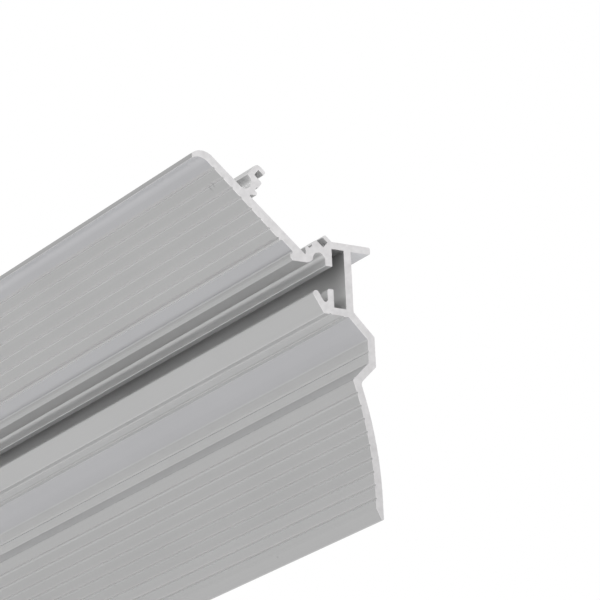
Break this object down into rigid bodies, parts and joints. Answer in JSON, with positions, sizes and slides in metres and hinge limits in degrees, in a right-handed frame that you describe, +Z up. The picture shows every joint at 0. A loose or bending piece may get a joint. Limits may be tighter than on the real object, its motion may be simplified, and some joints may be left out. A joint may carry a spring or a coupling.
{
  "type": "LED strip aluminium profile, plaster-in cove",
  "caption": "Plaster-in aluminium cove profile: a slot that faces forward for an LED strip, ribbed plaster flanges above and below, and a connector track behind.",
  "frame": {"origin": "middle of the knee's flat back, which bears on the wall, at the profile's mid-length", "axes": "+X along the profile, +Y into the wall, +Z up; the light comes out towards -Y"},
  "size_m": [1, 0.0402, 0.0709],
  "materials": {
    "raw_aluminium": "raw mill finish with fine lines along the extrusion; sawn ends paler and matt"
  },
  "bodies": {
    "root": {"profile": "raw_aluminium"}
  },
  "joints": []
}
